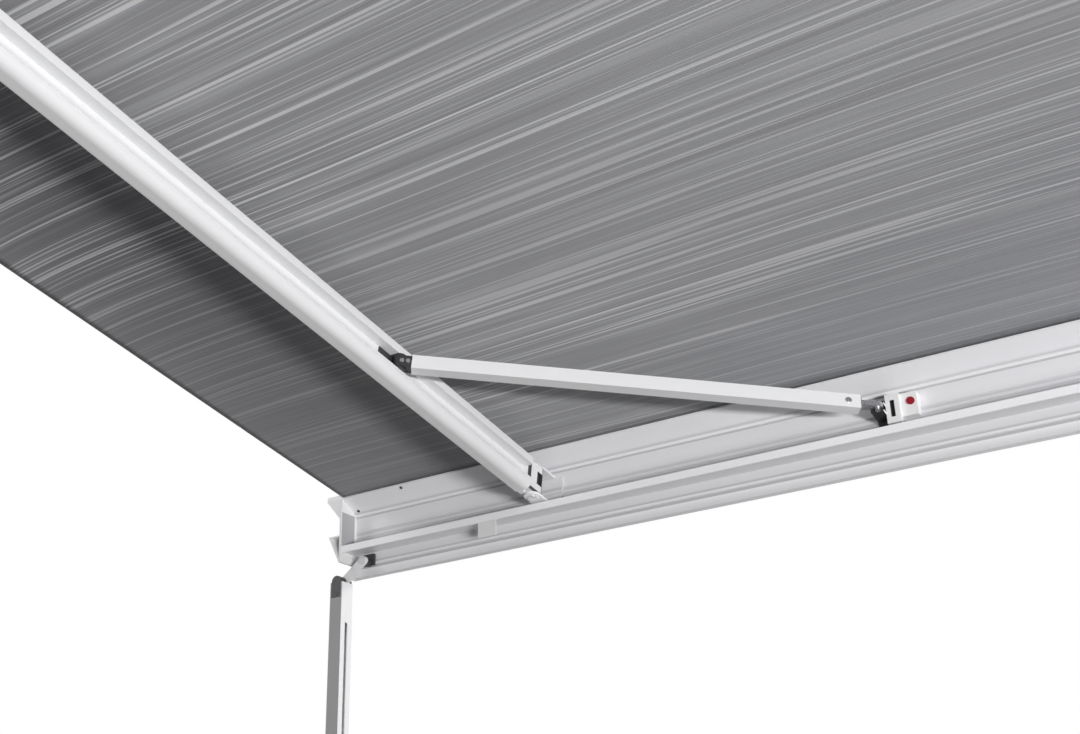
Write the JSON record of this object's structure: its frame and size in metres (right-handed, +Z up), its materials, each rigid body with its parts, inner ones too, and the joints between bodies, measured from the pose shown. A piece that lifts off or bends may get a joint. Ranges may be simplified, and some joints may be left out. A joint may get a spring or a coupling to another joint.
{
  "type": "roll out awning",
  "caption": "Cassette roll-out awning for a caravan or camper: canopy wound by a geared roller, lead rail with folding rafters, rail braces and folding telescopic legs.",
  "frame": {"origin": "centre of the middle wall bracket's bolt pattern, on the vehicle's wall plane", "axes": "X along the awning's width, -Y out from the wall toward the lead rail, +Z up"},
  "size_m": [4.038, 2.3558, 2.5257],
  "materials": {
    "white_metal": "satin",
    "white_rail": "satin",
    "white_plastic": "matte",
    "dark_plastic": "matte",
    "bare_steel": "brushed",
    "bare_aluminium": "satin",
    "awning_fabric": "woven",
    "red_plastic": "gloss"
  },
  "bodies": {
    "cassette": {"wall_brackets": "bare_aluminium", "bracket_screws": "bare_steel", "cassette_housing": "white_metal", "cassette_end_cap_right": "white_plastic", "cassette_end_cap_left": "white_plastic", "cassette_screws": "bare_steel", "roller_bush": "dark_plastic", "gear_housing": "dark_plastic", "gear_cover": "dark_plastic"},
    "roller": {"roller_tube": "bare_aluminium", "roller_plug_right": "bare_aluminium", "roller_plug_left": "bare_aluminium", "fabric_roll": "awning_fabric", "worm_wheel": "dark_plastic"},
    "worm": {"worm_shaft": "bare_steel", "crank_eye": "bare_steel"},
    "lead_bar": {"lead_rail": "white_rail", "keder_rod": "white_plastic", "canopy": "awning_fabric", "rail_end_cap_right": "white_plastic", "rail_end_cap_left": "white_plastic", "leg_clips": "white_plastic", "leg_brackets": "dark_plastic", "rafter_hinge_bracket_right": "bare_aluminium", "rafter_hinge_bracket_left": "bare_aluminium", "rafter_hinge_pin_right": "bare_steel", "rafter_hinge_pin_left": "bare_steel"},
    "rafter_right": {"rafter_profile_right": "white_metal", "rafter_knuckle_right": "white_plastic", "brace_pivot_block_right": "dark_plastic"},
    "rafter_inner_right": {"rafter_inner_tube_right": "bare_aluminium", "rafter_wall_foot_right": "dark_plastic"},
    "brace_right": {"brace_tube_right": "white_metal", "brace_pivot_end_right": "dark_plastic", "brace_hook_end_right": "bare_steel"},
    "slider_right": {"brace_slider_right": "white_plastic"},
    "button_right": {"release_button_right": "red_plastic"},
    "arm_right": {"leg_arm_right": "bare_steel"},
    "leg_right": {"leg_knuckle_right": "dark_plastic", "leg_outer_tube_right": "white_metal"},
    "leg_inner_right": {"leg_inner_tube_right": "bare_aluminium", "leg_foot_right": "dark_plastic"},
    "lever_right": {"leg_lever_right": "dark_plastic"},
    "rafter_left": {"rafter_profile_left": "white_metal", "rafter_knuckle_left": "white_plastic", "brace_pivot_block_left": "dark_plastic"},
    "rafter_inner_left": {"rafter_inner_tube_left": "bare_aluminium", "rafter_wall_foot_left": "dark_plastic"},
    "brace_left": {"brace_tube_left": "white_metal", "brace_pivot_end_left": "dark_plastic", "brace_hook_end_left": "bare_steel"},
    "slider_left": {"brace_slider_left": "white_plastic"},
    "button_left": {"release_button_left": "red_plastic"},
    "arm_left": {"leg_arm_left": "bare_steel"},
    "leg_left": {"leg_knuckle_left": "dark_plastic", "leg_outer_tube_left": "white_metal"},
    "leg_inner_left": {"leg_inner_tube_left": "bare_aluminium", "leg_foot_left": "dark_plastic"},
    "lever_left": {"leg_lever_left": "dark_plastic"}
  },
  "joints": [
    {"name": "extension", "type": "slide", "parent": "cassette", "child": "lead_bar", "axis": [0, -0.9823, -0.1874], "range_m": [-0.9, 0], "deforming": ["canopy"]},
    {"name": "roller_spin", "type": "hinge", "parent": "cassette", "child": "roller", "pos_m": [0, -0.072, 0.008], "axis": [1, 0, 0], "range_deg": [-1330, 5]},
    {"name": "worm_spin", "type": "hinge", "parent": "cassette", "child": "worm", "pos_m": [-2.0135, -0.1086, 0.008], "axis": [0, 0, 1], "range_deg": [-31920, 120]},
    {"name": "rafter_swing_right", "type": "hinge", "parent": "lead_bar", "child": "rafter_right", "pos_m": [1.649, -2.28457, -0.41692], "axis": [0, 0.1874, -0.9823], "range_deg": [-90, 0]},
    {"name": "rafter_telescope_right", "type": "slide", "parent": "rafter_right", "child": "rafter_inner_right", "axis": [0, 0.9823, 0.1874], "range_m": [-0.9, 0]},
    {"name": "brace_swing_right", "type": "hinge", "parent": "rafter_right", "child": "brace_right", "pos_m": [1.64, -1.98703, -0.35965], "axis": [0, 0.1874, -0.9823], "range_deg": [0, 125]},
    {"name": "brace_slide_right", "type": "slide", "parent": "lead_bar", "child": "slider_right", "axis": [-1, 0, 0], "range_m": [0, 0.393]},
    {"name": "release_button_right", "type": "slide", "parent": "slider_right", "child": "button_right", "axis": [0, -1, 0], "range_m": [0, 0.0012], "stiffness_N_per_m": 1500},
    {"name": "leg_arm_swing_right", "type": "hinge", "parent": "lead_bar", "child": "arm_right", "pos_m": [1.945, -2.30552, -0.46856], "axis": [0, -1, 0], "range_deg": [-142.4, 0]},
    {"name": "leg_swing_right", "type": "hinge", "parent": "arm_right", "child": "leg_right", "pos_m": [1.98, -2.30552, -0.49556], "axis": [0, 1, 0], "range_deg": [-52.35, 0]},
    {"name": "leg_extend_right", "type": "slide", "parent": "leg_right", "child": "leg_inner_right", "axis": [0, 0, -1], "range_m": [-0.67, 0.1]},
    {"name": "leg_lever_right", "type": "hinge", "parent": "leg_right", "child": "lever_right", "pos_m": [1.993, -2.30252, -1.68856], "axis": [0, 1, 0], "range_deg": [0, 70]},
    {"name": "rafter_swing_left", "type": "hinge", "parent": "lead_bar", "child": "rafter_left", "pos_m": [-1.649, -2.28457, -0.41692], "axis": [0, -0.1874, 0.9823], "range_deg": [-90, 0]},
    {"name": "rafter_telescope_left", "type": "slide", "parent": "rafter_left", "child": "rafter_inner_left", "axis": [0, 0.9823, 0.1874], "range_m": [-0.9, 0]},
    {"name": "brace_swing_left", "type": "hinge", "parent": "rafter_left", "child": "brace_left", "pos_m": [-1.64, -1.98703, -0.35965], "axis": [0, -0.1874, 0.9823], "range_deg": [0, 125]},
    {"name": "brace_slide_left", "type": "slide", "parent": "lead_bar", "child": "slider_left", "axis": [1, 0, 0], "range_m": [0, 0.393]},
    {"name": "release_button_left", "type": "slide", "parent": "slider_left", "child": "button_left", "axis": [0, -1, 0], "range_m": [0, 0.0012], "stiffness_N_per_m": 1500},
    {"name": "leg_arm_swing_left", "type": "hinge", "parent": "lead_bar", "child": "arm_left", "pos_m": [-1.945, -2.30552, -0.46856], "axis": [0, 1, 0], "range_deg": [-142.4, 0]},
    {"name": "leg_swing_left", "type": "hinge", "parent": "arm_left", "child": "leg_left", "pos_m": [-1.98, -2.30552, -0.49556], "axis": [0, -1, 0], "range_deg": [-52.35, 0]},
    {"name": "leg_extend_left", "type": "slide", "parent": "leg_left", "child": "leg_inner_left", "axis": [0, 0, -1], "range_m": [-0.67, 0.1]},
    {"name": "leg_lever_left", "type": "hinge", "parent": "leg_left", "child": "lever_left", "pos_m": [-1.993, -2.30252, -1.68856], "axis": [0, -1, 0], "range_deg": [0, 70]}
  ],
  "couplings": [
    {"joint": "roller_spin", "follows": "extension", "rad_per_m": 25.641},
    {"joint": "worm_spin", "follows": "extension", "rad_per_m": 615.38},
    {"joint": "rafter_telescope_right", "follows": "extension", "ratio": 1},
    {"joint": "brace_swing_right", "follows": "rafter_swing_right", "ratio": -1.3859},
    {"joint": "brace_slide_right", "follows": "rafter_swing_right", "m_per_rad": -0.24928},
    {"joint": "leg_arm_swing_right", "follows": "leg_swing_right", "ratio": 2.7192},
    {"joint": "rafter_telescope_left", "follows": "extension", "ratio": 1},
    {"joint": "brace_swing_left", "follows": "rafter_swing_left", "ratio": -1.3859},
    {"joint": "brace_slide_left", "follows": "rafter_swing_left", "m_per_rad": -0.24928},
    {"joint": "leg_arm_swing_left", "follows": "leg_swing_left", "ratio": 2.7192}
  ]
}
